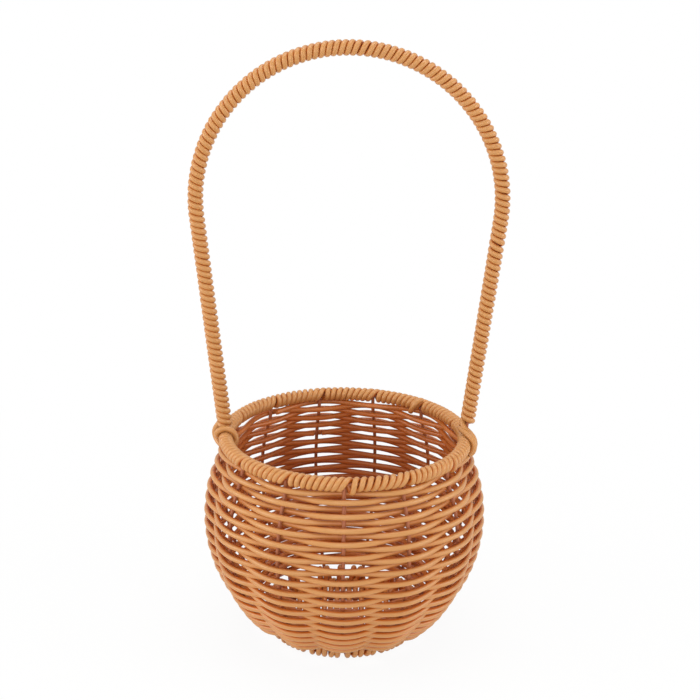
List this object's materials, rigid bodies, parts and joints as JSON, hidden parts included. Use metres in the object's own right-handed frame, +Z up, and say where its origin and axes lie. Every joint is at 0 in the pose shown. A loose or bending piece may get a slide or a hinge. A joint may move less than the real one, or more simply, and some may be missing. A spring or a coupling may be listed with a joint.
{
  "type": "knitting basket",
  "caption": "Round open basket of woven resin cane on a wire frame, with a wound rim and foot ring and a tall fixed hoop handle.",
  "frame": {"origin": "centre of the foot ring, on the surface that the basket stands on", "axes": "+Z up, -Y the front, +X to the right along the span of the handle"},
  "size_m": [0.1606, 0.1477, 0.3157],
  "materials": {
    "cane": "satin",
    "wire": "matt"
  },
  "bodies": {
    "root": {"floor_cane_01": "cane", "floor_cane_02": "cane", "floor_cane_03": "cane", "floor_cane_04": "cane", "floor_cane_05": "cane", "floor_cane_06": "cane", "floor_cane_07": "cane", "floor_cane_08": "cane", "floor_cane_09": "cane", "floor_cane_10": "cane", "floor_cane_11": "cane", "floor_cane_12": "cane", "floor_cane_13": "cane", "floor_cane_14": "cane", "floor_cane_15": "cane", "floor_cane_16": "cane", "floor_cane_17": "cane", "floor_cane_18": "cane", "floor_cane_19": "cane", "floor_wire_1": "wire", "floor_wire_2": "wire", "floor_wire_3": "wire", "foot_winding": "cane", "foot_wire": "wire", "handle_lashing_left": "cane", "handle_lashing_right_1": "cane", "handle_lashing_right_2": "cane", "handle_winding": "cane", "handle_wire": "wire", "rim_winding": "cane", "rim_wire": "wire", "stake_01": "wire", "stake_02": "wire", "stake_03": "wire", "stake_04": "wire", "stake_05": "wire", "stake_06": "wire", "stake_07": "wire", "stake_08": "wire", "stake_09": "wire", "stake_10": "wire", "stake_11": "wire", "stake_12": "wire", "stake_13": "wire", "weaver_1": "cane", "weaver_2": "cane", "weaver_3": "cane", "weaver_4": "cane", "weaver_5": "cane"}
  },
  "joints": []
}
